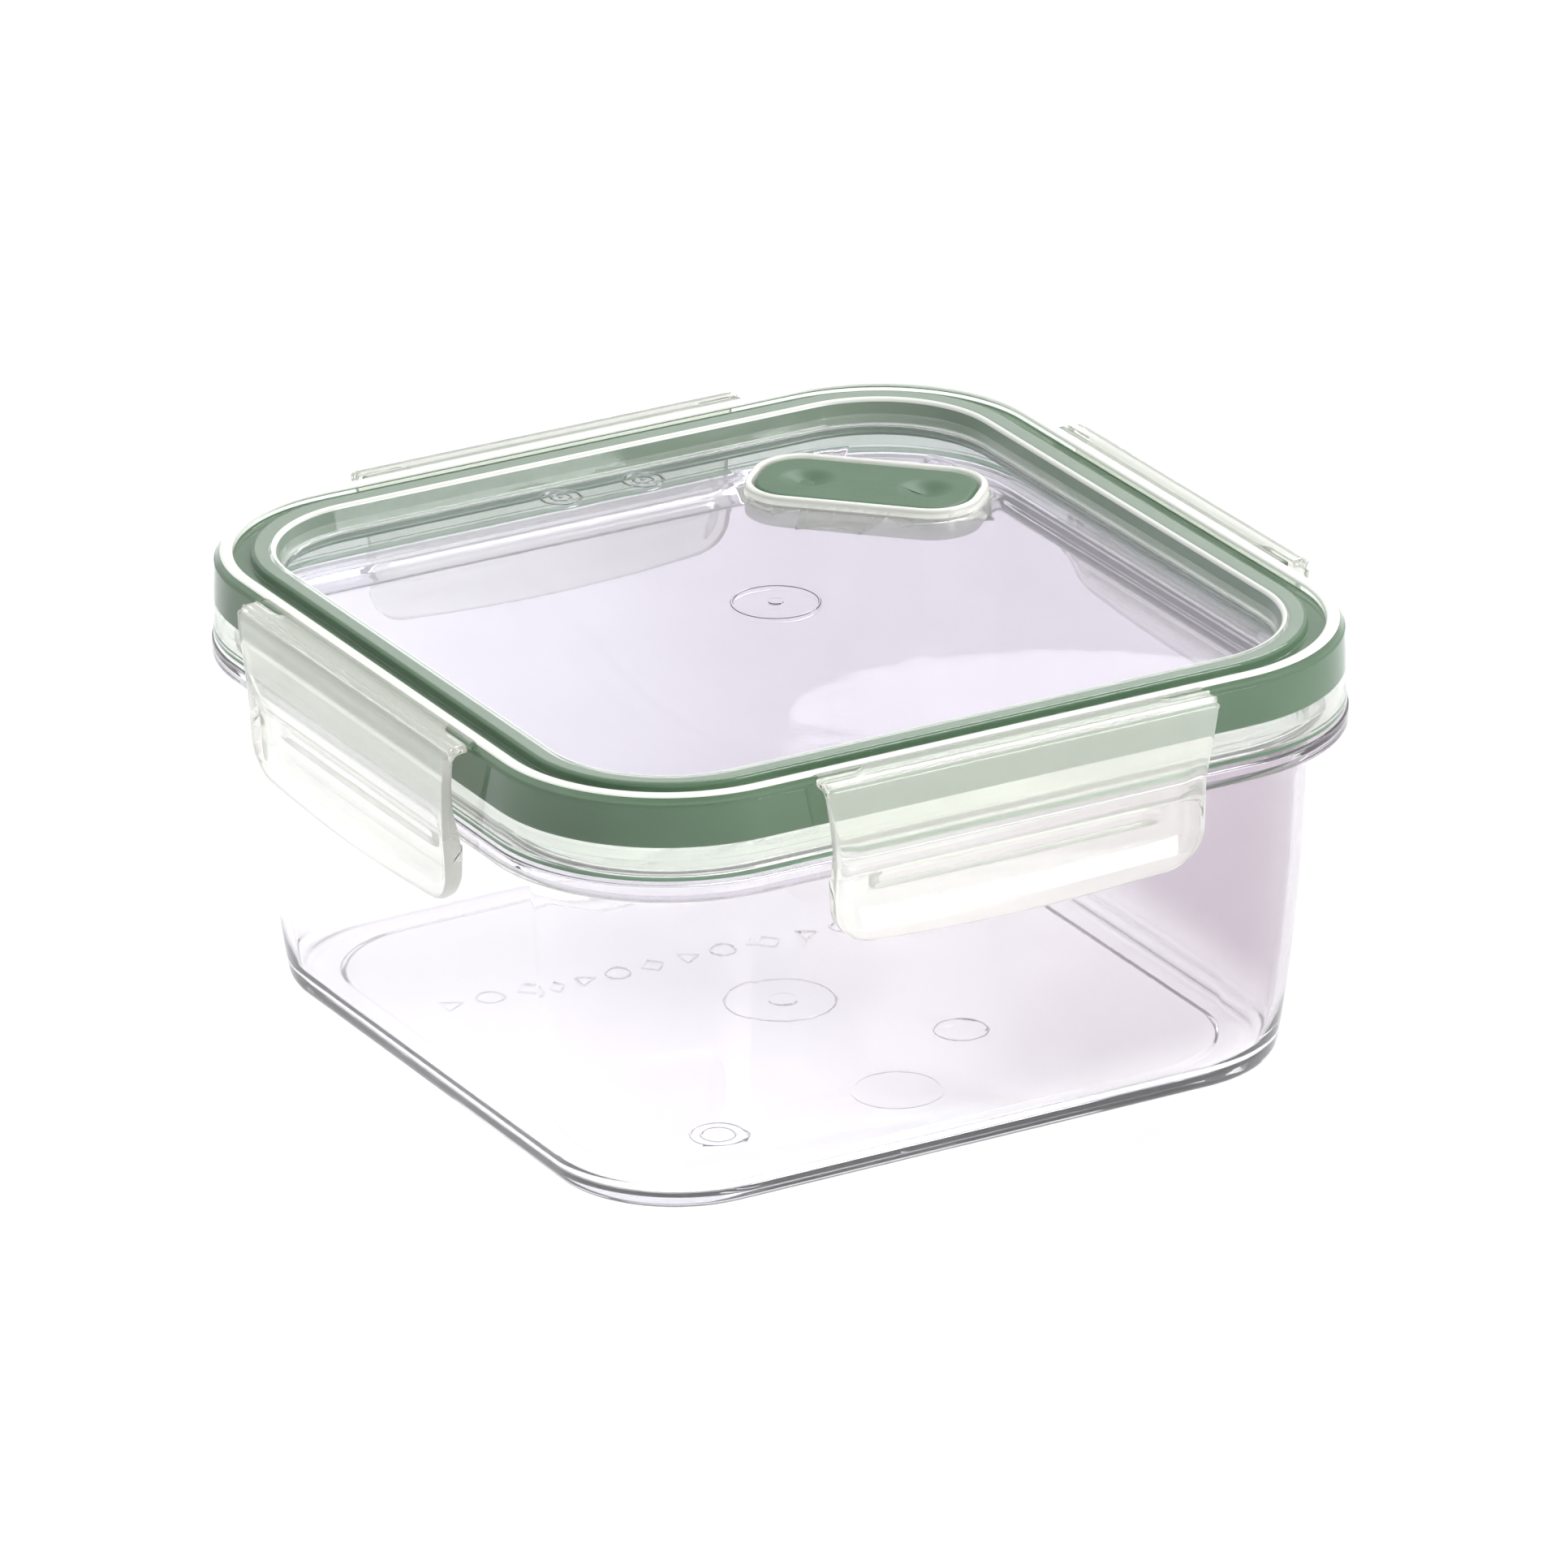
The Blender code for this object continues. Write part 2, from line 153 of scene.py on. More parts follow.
# Vent
BUTTON_LENGTH = 38.0
BUTTON_WIDTH = 18.2
BUTTON_CORNER = 6.8
BUTTON_TOP = VENT_HIGH.z
BUTTON_THICKNESS = 1.8
POCKET_CLEAR = 0.5
POCKET_RIM = 1.3
POCKET_RIM_TOP = 75.7
POCKET_FLOOR = 70.3
POCKET_WALL = 1.0
BUTTON_EDGE = 0.7
DIMPLE_OFFSET = 10.5
DIMPLE_REACH = (5.2, 4.6)
DIMPLE_DEPTH = 1.3
PLUG_OFFSET = 12.0
PLUG_RADIUS = 2.8
HOLE_RADIUS = 1.8
RIB_RADIUS = 2.1
RIB_END = 2.0
TAB_INSET = 0.25
TAB_THICKNESS = 1.0
# Each hook tab: its middle along the button, its half-width and the height of its lower end.
HOOK_TABS = {"wide_tab": (-9.5, 2.5, 71.2), "narrow_tab": (5.0, 1.5, 71.5)}

# Latches
LATCH_HALF = LATCH_HIGH.x
LATCH_TAPER = 2.2
LATCH_CORNER = 7.0
LATCH_TIP = 48.6
LATCH_BOW = 1.2
LATCH_BOW_START = 60.0
LATCH_INNER = 79.2
LATCH_EDGE = 1.1
LATCH_SHELF_END = -LATCH_HIGH.y
TAPER_HEIGHT = 13.0
# Finger hollow: where it fades in from the ends, the top and the bottom, and how deep it is.
HOLLOW_ENDS = (0.965, 0.88)
HOLLOW_TOP = (67.5, 58.5)
HOLLOW_BOTTOM = (49.5, 56.0)
HOLLOW_DEPTH = 1.75
# A latch's ends are rounded towards this side, outwards and up, and least on the inside.
ROUNDED_SIDE = (0.9, 0.43)
LEAST_ROUNDING = 0.12
# The rib under the flange ends at this share of the latch's half-length, and fades out over the second one.
RIB_SHARE = 0.8
RIB_FADE = 0.08

# Hinge films
WEB_STEPS = 14
WEB_HALF_THICKNESS = 0.22
WEB_RISE = 0.12


# ---------------------------------------------------------------- mesh helpers


def finish_mesh(work, name, smooth=True):
    """Turns a bmesh in millimetres into a scene object in metres with clean, area-weighted normals."""
    bmesh.ops.recalc_face_normals(work, faces=work.faces)
    bmesh.ops.scale(work, vec=(MM, MM, MM), verts=work.verts)
    mesh = bpy.data.meshes.new(name)
    work.to_mesh(mesh)
    work.free()
    obj = bpy.data.objects.new(name, mesh)
    bpy.context.scene.collection.objects.link(obj)
    if smooth:
        mesh.shade_smooth()
        weighted = obj.modifiers.new("weighted_normals", "WEIGHTED_NORMAL")
        weighted.mode = "FACE_AREA"
        weighted.weight = 80
        weighted.keep_sharp = True
    return obj


def zipped_cap(work, row):
    """Closes a thin ring with triangles between its two long sides, so a curved end shades evenly."""
    first, last = 0, len(row) - 1
    while last - first > 1:
        ahead = (row[first + 1].co - row[last].co).length
        behind = (row[first].co - row[last - 1].co).length
        if ahead < behind:
            work.faces.new((row[first], row[first + 1], row[last]))
            first += 1
        else:
            work.faces.new((row[first], row[last - 1], row[last]))
            last -= 1


def skin(work, rings, closed, cap=None):
    """Joins equal rings of points into one surface that closes on itself or ends in two caps."""
    rows = [[work.verts.new(point) for point in ring] for ring in rings]
    pairs = list(zip(rows, rows[1:]))
    if closed:
        pairs.append((rows[-1], rows[0]))
    count = len(rows[0])
    for first, second in pairs:
        for i in range(count):
            j = (i + 1) % count
            work.faces.new((first[i], first[j], second[j], second[i]))
    if not closed:
        for row in (rows[0], rows[-1]):
            if cap is None:
                work.faces.new(row)
            else:
                cap(work, row)


def square_ring(half, centre, height):
    """A rounded square. Its corner arcs turn about (+-centre, +-centre), or closer in near the middle."""
    radius = max(half - centre, SMALLEST_CORNER * half)
    middle = half - radius
    points = []
    for quarter in range(4):
        turn = quarter * math.pi / 2
        cx = middle * (math.cos(turn) - math.sin(turn))
        cy = middle * (math.sin(turn) + math.cos(turn))
        for step in range(ARC_STEPS + 1):
            angle = turn + step * math.pi / 2 / ARC_STEPS
            points.append((cx + radius * math.cos(angle), cy + radius * math.sin(angle), height))
        x, y, _ = points[-1]
        for step in range(1, STRAIGHT_STEPS):
            along = 2 * middle * step / STRAIGHT_STEPS
            points.append((x - along * math.cos(turn), y - along * math.sin(turn), height))
    return points


def filleted(outline, closed):
    """Rounds an outline's corners. Each entry is (across, up, radius); a radius of 0 keeps the point."""
    count = len(outline)
    rounded = []
    for i, (x, y, radius) in enumerate(outline):
        here = Vector((x, y))
        if radius == 0 or (not closed and i in (0, count - 1)):
            rounded.append((x, y))
            continue
        before = Vector(outline[i - 1][:2]) - here
        after = Vector(outline[(i + 1) % count][:2]) - here
        half_angle = before.angle(after) / 2
        longest = LONGEST_FILLET * min(before.length, after.length)
        reach = min(radius / math.tan(half_angle), longest)
        start, end = here + before.normalized() * reach, here + after.normalized() * reach
        for step in range(FILLET_STEPS + 1):
            t = step / FILLET_STEPS
            point = start * (1 - t) ** 2 + here * (2 * t * (1 - t)) + end * t**2
            rounded.append((point.x, point.y))
    return rounded


def side_turn(quarter):
    """Turns the front side to another one: 1 is the right side, 2 the back and 3 the left."""
    return Matrix.Rotation(quarter * math.pi / 2, 4, "Z")


def smooth_step(edge_low, edge_high, value):
    """0 at the first edge and 1 at the second, with a smooth start and end."""
    t = min(max((value - edge_low) / (edge_high - edge_low), 0.0), 1.0)
    return t * t * (3 - 2 * t)


def mark_bands(obj, profile, slot_at):
    """Gives each band of a lofted mesh the slot that slot_at names for its half-width and height."""
    for band, (first, second) in enumerate(zip(profile, profile[1:])):
        slot = slot_at((first[0] + second[0]) / 2, (first[1] + second[1]) / 2)
        for face in range(band * RING_POINTS, (band + 1) * RING_POINTS):
            obj.data.polygons[face].material_index = slot
    for cap in (-1, -2):
        obj.data.polygons[cap].material_index = slot_at(0, 0)


def boolean(obj, work, name, operation, slot=0):
    """Cuts or adds a helper solid for good. The new faces take the given material slot."""
    helper = finish_mesh(work, name, smooth=False)
    for face in helper.data.polygons:
        face.material_index = slot
        face.use_smooth = True
    modifier = obj.modifiers.new(name, "BOOLEAN")
    modifier.object = helper
    modifier.operation = operation
    obj.modifiers.move(len(obj.modifiers) - 1, 0)
    with bpy.context.temp_override(object=obj, active_object=obj, selected_objects=[obj]):
        bpy.ops.object.modifier_apply(modifier=name)
    bpy.data.objects.remove(helper)


# ---------------------------------------------------------------- materials


def node_material(name):
    """A new material, its node tree and its shader."""
    material = bpy.data.materials.new(name)
    material.use_nodes = True
    tree = material.node_tree
    return material, tree, tree.nodes["Principled BSDF"]


def position(tree):
    """Object coordinates in millimetres. Every piece's origin is the frame's, so they line up."""
    where = tree.nodes.new("ShaderNodeTexCoord")
    scale = tree.nodes.new("ShaderNodeVectorMath")
    scale.operation = "SCALE"
    scale.inputs["Scale"].default_value = 1 / MM
    tree.links.new(where.outputs["Object"], scale.inputs[0])
    return scale.outputs["Vector"]


def noise(tree, where, size, detail, roughness=0.5):
    """Noise whose grain is about size millimetres."""
    texture = tree.nodes.new("ShaderNodeTexNoise")
    texture.inputs["Scale"].default_value = 1 / size
    texture.inputs["Detail"].default_value = detail
    texture.inputs["Roughness"].default_value = roughness
    tree.links.new(where, texture.inputs["Vector"])
    return texture.outputs["Fac"]


def between(tree, factor, low, high):
    """A number that runs from low to high as a noise's value runs from 0.35 to 0.7."""
    node = tree.nodes.new("ShaderNodeMapRange")
    node.inputs["From Min"].default_value = 0.35
    node.inputs["From Max"].default_value = 0.7
    node.inputs["To Min"].default_value = low
    node.inputs["To Max"].default_value = high
    tree.links.new(factor, node.inputs["Value"])
    return node.outputs["Result"]


def mixed_colour(tree, factor, first, second):
    """Mixes two colours. Each is a tuple or another node's output."""
    node = tree.nodes.new("ShaderNodeMix")
    node.data_type = "RGBA"
    for name, colour in (("A", first), ("B", second)):
        if isinstance(colour, tuple):
            node.inputs[name].default_value = (*colour, 1)
        else:
            tree.links.new(colour, node.inputs[name])
    tree.links.new(factor, node.inputs["Factor"])
    return node.outputs["Result"]


def axis_share(tree, where, axis, low, high):
    """0 below one place on an axis, in millimetres, and 1 above another."""
    split = tree.nodes.new("ShaderNodeSeparateXYZ")
    tree.links.new(where, split.inputs[0])
    node = tree.nodes.new("ShaderNodeMapRange")
    node.interpolation_type = "SMOOTHSTEP"
    node.inputs["From Min"].default_value = low
    node.inputs["From Max"].default_value = high
    tree.links.new(split.outputs[axis], node.inputs["Value"])
    return node.outputs["Result"]


def bump(tree, shader, heights):
    """Stacks bumps on the shader. Each is (height, strength, distance in metres)."""
    normal = None
    for height, strength, distance in heights:
        node = tree.nodes.new("ShaderNodeBump")
        node.inputs["Strength"].default_value = strength
        node.inputs["Distance"].default_value = distance
        tree.links.new(height, node.inputs["Height"])
        if normal is not None:
            tree.links.new(normal, node.inputs["Normal"])
        normal = node.outputs["Normal"]
    tree.links.new(normal, shader.inputs["Normal"])


# In the order of the lid's slots: name, two colours, transmission, roughness from and to, and grain.
LID_PLASTICS = (
    ("milky_rim_plastic", ((0.91, 0.945, 0.89), (0.89, 0.925, 0.865)), 0.97, (0.01, 0.03), 0.01),
    # Ridge tops: a scattering finish whose pale cream is also a painted highlight of the light from above.
    ("frosted_ridge_highlight_plastic", ((0.97, 0.98, 0.925), (0.955, 0.968, 0.905)), 0.18, (0.12, 0.20), 0.02),
    ("hazy_rim_plastic", ((0.855, 0.895, 0.815), (0.835, 0.875, 0.795)), 0.84, (0.04, 0.08), 0.02),
    ("milky_panel_plastic", ((0.860, 0.850, 0.918), (0.845, 0.835, 0.903)), 0.985, (0.0, 0.012), 0.005),
    # Skirt's lower edge: a green tint that is a painted reflection of the seal, as if piped through the
    # plastic.
    ("seal_reflection_edge_plastic", ((0.14, 0.27, 0.16), (0.12, 0.24, 0.14)), 0.5, (0.04, 0.08), 0.02),
    ("vent_pocket_plastic", ((0.975, 0.985, 0.92), (0.955, 0.97, 0.90)), 0.40, (0.14, 0.22), 0.02),
    ("inner_slope_plastic", ((0.76, 0.84, 0.75), (0.73, 0.81, 0.72)), 0.74, (0.08, 0.14), 0.02),
)
LATCH_PLASTIC = (
    "milky_latch_plastic",
    ((0.965, 0.972, 0.918), (0.945, 0.958, 0.90)),
    0.82,
    (0.09, 0.13),
    0.02,
)
# Name, two colours and middle roughness
SEAL_RUBBER = ("green_seal_rubber", ((0.078, 0.170, 0.086), (0.092, 0.190, 0.100)), 0.5)
VENT_RUBBER = ("green_vent_rubber", ((0.088, 0.158, 0.096), (0.100, 0.176, 0.108)), 0.42)


def clear_plastic():
    """The tub: clear copolyester, colourless low down and lavender up the walls. Painted shade darkens the
    walls towards the right, and the mint from the flange's top up is a painted reflection of the seal's
    green.
    """
    material, tree, shader = node_material("clear_tub_plastic")
    where = position(tree)
    shader.inputs["Transmission Weight"].default_value = 0.975
    shader.inputs["IOR"].default_value = 1.54
    waves = noise(tree, where, 26.0, 1.0)
    scuffs = noise(tree, where, 1.4, 4.0, 0.7)
    tint = noise(tree, where, 40.0, 1.0)
    share = between(tree, tint, 0, 1)
    base = mixed_colour(tree, share, (0.995, 0.988, 0.993), (0.985, 0.978, 0.988))
    left_wall = mixed_colour(tree, share, (0.970, 0.950, 0.972), (0.950, 0.930, 0.956))
    # Painted shade: the walls darken from the left side to a lavender-grey on the right.
    right_wall_shade = mixed_colour(tree, share, (0.700, 0.652, 0.690), (0.680, 0.630, 0.672))
    wall = mixed_colour(tree, axis_share(tree, where, "X", -50.0, 60.0), left_wall, right_wall_shade)
    # Painted reflection: the mint from the flange's top up stands in for green light from the seal.
    seal_reflection_tint = mixed_colour(tree, share, (0.935, 0.975, 0.935), (0.920, 0.962, 0.920))
    colour = mixed_colour(tree, axis_share(tree, where, "Z", 2.0, 14.0), base, wall)
    colour = mixed_colour(tree, axis_share(tree, where, "Z", 63.0, 65.0), colour, seal_reflection_tint)
    tree.links.new(colour, shader.inputs["Base Color"])
    tree.links.new(between(tree, scuffs, 0.01, 0.035), shader.inputs["Roughness"])
    bump(tree, shader, [(waves, 0.15, 0.0004), (scuffs, 0.02, 0.0001)])
    return material


def milky_plastic(name, colours, transmission, roughness, grain):
    """Lid and latches: translucent polypropylene that scatters a little light, with faint flow clouds."""
    material, tree, shader = node_material(name)
    where = position(tree)
    shader.inputs["IOR"].default_value = 1.49
    shader.inputs["Transmission Weight"].default_value = transmission
    clouds = noise(tree, where, 18.0, 2.0)
    fine = noise(tree, where, 0.9, 3.0, 0.6)
    colour = mixed_colour(tree, between(tree, clouds, 0, 1), *colours)
    tree.links.new(colour, shader.inputs["Base Color"])
    tree.links.new(between(tree, fine, *roughness), shader.inputs["Roughness"])
    bump(tree, shader, [(clouds, 0.05, 0.0002), (fine, grain, 0.0001)])
    return material


def green_rubber(name, colours, roughness):
    """Seal and vent button: soft sage green elastomer, satin, with a fine moulded grain."""
    material, tree, shader = node_material(name)
    where = position(tree)
    clouds = noise(tree, where, 12.0, 2.0)
    grain = noise(tree, where, 0.35, 3.0, 0.7)
    tree.links.new(mixed_colour(tree, between(tree, clouds, 0, 1), *colours), shader.inputs["Base Color"])
    tree.links.new(between(tree, grain, roughness - 0.06, roughness + 0.06), shader.inputs["Roughness"])
    shader.inputs["Specular IOR Level"].default_value = 0.3
    bump(tree, shader, [(grain, 0.12, 0.0001)])
    return material


# ---------------------------------------------------------------- tub


def wall_half(height):
    """Half-width of the wall's outside, which flares in a curve from the base."""
    return BASE_HALF + WALL_FLARE * (1 - (1 - height / WALL_HEIGHT) ** 2)


def wall_heights(low, high):
    """Heights of the wall's rings, evenly spaced from low to high."""
    count = round((high - low) / WALL_STEP)
    return [low + (high - low) * i / count for i in range(count + 1)]


def tub_sections():
    """The outside, the rim and the inside, from the underside's middle round to the floor's middle.

    Each section is (profile, corner centre). A profile's entries are (half-width, height, fillet radius).
    """
    outside = [
        (12, FOOT_RECESS, 0),
        (35, FOOT_RECESS, 0),
        (FOOT_INNER - 0.8, FOOT_RECESS, 0.8),
        (FOOT_INNER, 0, 0.6),
        (wall_half(0) - 0.1, 0, BASE_FILLET),
    ]
    outside += [(wall_half(z), z, 0) for z in wall_heights(BASE_FILLET + 0.6, WALL_TOP - 1.0)]
    rim = [
        (wall_half(WALL_TOP - 1.0), WALL_TOP - 0.6, 0),
        (wall_half(WALL_TOP + 0.5), FLANGE_BOTTOM, 1.6),
        (FLANGE_HALF, FLANGE_BOTTOM, 0.5),
        (FLANGE_HALF, FLANGE_TOP, 0.6),
        (NECK_OUTER, FLANGE_TOP, 0.6),
        (NECK_OUTER, NECK_TOP, 0.9),
        (NECK_INNER, NECK_TOP, 0.9),
        (NECK_INNER, FLANGE_TOP + 0.6, 2.0),
        (wall_half(WALL_TOP + 3.0) - WALL, FLANGE_TOP - 1.4, 2.0),
        (wall_half(WALL_TOP) - WALL, WALL_TOP + 0.4, 0),
    ]
    heights = wall_heights(FLOOR_TOP + INNER_FILLET + 0.6, WALL_TOP)
    inside = [(wall_half(z) - WALL, z, 0) for z in reversed(heights)]
    inside += [(wall_half(FLOOR_TOP) - WALL - 0.1, FLOOR_TOP, INNER_FILLET)]
    inside += [(50, FLOOR_TOP, 0), (30, FLOOR_TOP, 0), (10, FLOOR_TOP, 0)]
    return [(outside, WALL_CENTRE), (rim, RIM_CENTRE), (inside, WALL_CENTRE)]


def build_tub():
    """The clear tub in one skin, with small marks moulded on its floor."""
    work = bmesh.new()
    rings = []
    for profile, centre in tub_sections():
        rings += [square_ring(half, centre, z) for half, z in filleted(profile, closed=False)]
    skin(work, rings, closed=False)
    tub = finish_mesh(work, "clear_tub_shell")
    boolean(tub, floor_marks(), "floor_marks", "UNION")
    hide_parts("container_tub")
    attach(tub, "tub_body")
    return tub


# ---------------------------------------------------------------- lid


def crown(x, y):
    """The panel's height above its edge: a shallow dome with a flat patch in its middle."""
    x = max(abs(x), CROWN_FLAT_HALF)
    y = max(abs(y), CROWN_FLAT_HALF)
    return PANEL_CROWN * max(1 - (x / PANEL_HALF) ** 2, 0) * max(1 - (y / PANEL_HALF) ** 2, 0)


def crowned(ring):
    """Lifts a ring of the panel onto the dome. The rings of the lid's rim are outside it and stay."""
    return [(x, y, z + crown(x, y)) for x, y, z in ring]


def lid_profile():
    """From the panel's middle over the ridges, down the skirt, back through the seal channel and under."""
    inner = SKIRT_HALF - SKIRT_WALL
    top = [(half, PANEL_TOP, 0) for half in PANEL_RINGS]
    rim = [
        (RIDGE_INNER - 0.6, PANEL_TOP, 0.9),
        (RIDGE_INNER + 0.1, RIDGE_TOP, 0.75),
        (GROOVE_INNER - 0.1, RIDGE_TOP, 0.6),
        (GROOVE_INNER, GROOVE_FLOOR, 0.3),
        (GROOVE_OUTER, GROOVE_FLOOR, 0.3),
        (GROOVE_OUTER + 0.1, RIDGE_TOP, 0.6),
        (SKIRT_HALF - 1.1, RIDGE_TOP - 0.1, 0.5),
        (SKIRT_HALF - 0.2, SHOULDER + 0.1, 0.1),
        (SKIRT_HALF, SHOULDER - 0.1, 0.1),
        (SKIRT_HALF + 0.25, SEAL_OUTER_BOTTOM, 0),
        (SKIRT_HALF + 0.3, UPPER_LINE[0], 0.1),
        (SKIRT_HALF + 0.2, UPPER_LINE[1], 0.1),
        (SKIRT_HALF + 0.3, LOWER_LINE[0], 0.1),
        (SKIRT_HALF + 0.4, LOWER_LINE[1], 0.1),
        (SKIRT_HALF + 0.4, SKIRT_BOTTOM + 0.8, 0),
        (SKIRT_HALF + 0.4, SKIRT_BOTTOM, 0.3),
        (inner + 0.4, SKIRT_BOTTOM, 0.3),
        (inner, SHOULDER - 0.3, 0.4),
        (GROOVE_OUTER + 0.8, SHOULDER - 0.3, 0.3),
        (GROOVE_OUTER + 0.7, GROOVE_FLOOR - SKIN, 0.3),
        (GROOVE_INNER - SKIN, GROOVE_FLOOR - SKIN, 0.3),
        (GROOVE_INNER - SKIN, RIDGE_TOP - SKIN, 0.5),
        (CHANNEL_INNER, RIDGE_TOP - SKIN, 0.4),
        (CHANNEL_INNER, CHANNEL_BOTTOM, 0.4),
        (CHANNEL_INNER - 1.2, CHANNEL_BOTTOM, 0.4),
        (PANEL_HALF + 0.9, PANEL_BOTTOM, 0.5),
    ]
    under = [(half, PANEL_BOTTOM, 0) for half in reversed(PANEL_RINGS)]
    return top + rim + under


def lid_slot(half, height):
    """The lid's material slot by place.

    The ridges' tops scatter most light and the thin panel least; the tops' pale cream is also a painted
    highlight.
    The inner ridge's slope and the skirt lie between them, and the skirt's lower edge carries a painted
    reflection of the seal's green.
    """
    if half < PANEL_HALF + 0.5:
        return PANEL_SLOT
    # Tops of both ridges and the inner ridge's rounded inner edge: painted highlight.
    if height > RIDGE_TOP - 0.6 and GROOVE_OUTER - 0.1 < half < SKIRT_HALF - 0.7:
        return FROSTED_HIGHLIGHT_SLOT
    if height > RIDGE_TOP - 0.8 and half < RIDGE_INNER + 0.9:
        return FROSTED_HIGHLIGHT_SLOT
    if PANEL_TOP < height and half < GROOVE_INNER - 0.6:
        return SLOPE_SLOT
    # Lower edge of the skirt: painted reflection of the seal's green.
    if half > SKIRT_HALF and height < SKIRT_BOTTOM + 0.8:
        return SEAL_REFLECTION_EDGE_SLOT
    if half > SKIRT_HALF and height < SEAL_OUTER_BOTTOM:
        return HAZY_SLOT
    return RIM_SLOT


def vent_frame():
    """The vent's own axes: X along the button, Y across it towards the lid's corner, Z up."""
    return Matrix.Translation((VENT.x, VENT.y, 0)) @ Matrix.Rotation(-math.pi / 4, 4, "Z")


def bar_ring(grow, height, per_side=10, arc=10):
    """The button's outline grown by this much: a bar with round corners, in the vent's axes."""
    length, width = BUTTON_LENGTH + 2 * grow, BUTTON_WIDTH + 2 * grow
    corner = max(BUTTON_CORNER + grow, 0.01)

    def corner_point(quarter, angle):
        cx = (length / 2 - corner) * (1 if quarter in (0, 3) else -1)
        cy = (width / 2 - corner) * (1 if quarter in (0, 1) else -1)
        return Vector((cx + corner * math.cos(angle), cy + corner * math.sin(angle), height))

    points = []
    for quarter in range(4):
        turn = quarter * math.pi / 2
        points += [corner_point(quarter, turn + step * math.pi / 2 / arc) for step in range(arc + 1)]
        end = corner_point((quarter + 1) % 4, turn + math.pi / 2)
        start = corner_point(quarter, turn + math.pi / 2)
        points += [start.lerp(end, i / per_side) for i in range(1, per_side)]
    return points


def bar_solid(profile):
    """A bar made of rings; each entry is (growth beyond the button's outline, height)."""
    work = bmesh.new()
    place = vent_frame()
    rings = []
    for grow, z in profile:
        rings.append([tuple(place @ point) for point in bar_ring(grow, z)])
    skin(work, rings, closed=False)
    return work


def block(frame_matrix, low, high):
    """A box between two corners, in the given axes."""
    work = bmesh.new()
    rings = []
    for z in (low[2], high[2]):
        corners = ((low[0], low[1]), (high[0], low[1]), (high[0], high[1]), (low[0], high[1]))
        rings.append([tuple(frame_matrix @ Vector((x, y, z))) for x, y in corners])
    skin(work, rings, closed=False)
    return work


def round_rings(spots):
    """Thin raised rings and dots: each is (x, y, outer radius, inner radius or 0, base, height, sides)."""
    work = bmesh.new()
    for x, y, outer, inner, base, height, sides in spots:
        edge = [(outer, base - MARK_ROOT), (outer, base + height)]
        if inner:
            edge += [(inner, base + height), (inner, base - MARK_ROOT)]
        angles = [2 * math.pi * step / sides for step in range(sides)]
        rings = [[(x + r * math.cos(a), y + r * math.sin(a), z) for a in angles] for r, z in edge]
        skin(work, rings, closed=bool(inner))
    return work


def panel_marks():
    """Gate mark and ring in the panel's middle, and two date discs without figures near its back edge."""
    middle = PANEL_TOP + crown(0, 0)
    spots = [(0, 0, 7.7, 7.2, middle, 0.06, ROUND_SIDES), (0, 0, 1.3, 0, middle, 0.25, ROUND_SIDES)]
    for x, y in DATE_DISCS:
        base = PANEL_TOP + crown(x, y)
        for outer, inner in ((3.7, 3.2), (1.9, 1.4), (0.5, 0)):
            spots.append((x, y, outer, inner, base, 0.15, ROUND_SIDES))
    return round_rings(spots)


def floor_marks():
    """Plain rings and a row of small shapes stand where the photo has moulded marks on the tub's floor."""
    rings = [
        (-0.7, -1.6, 2.5, 0, 0.2),
        (-0.7, -1.6, 9.2, 8.8, 0.03),
        (19.0, -27.8, 4.8, 4.45, 0.05),
        (-2.8, -44.0, 8.0, 7.3, 0.08),
        (-37.2, -44.8, 4.9, 4.5, 0.05),
        (-37.2, -44.8, 3.1, 2.7, 0.05),
    ]
    spots = [(x, y, outer, inner, FLOOR_TOP, height, ROUND_SIDES) for x, y, outer, inner, height in rings]
    for step in range(FLOOR_ROW_COUNT):
        x = FLOOR_ROW_START[0] + FLOOR_ROW_STEP[0] * step
        y = FLOOR_ROW_START[1] + FLOOR_ROW_STEP[1] * step
        sides = FLOOR_ROW_SIDES[step % 3]
        spots.append((x, y, *FLOOR_ROW_RADII, FLOOR_TOP, FLOOR_ROW_HEIGHT, sides))
    return round_rings(spots)


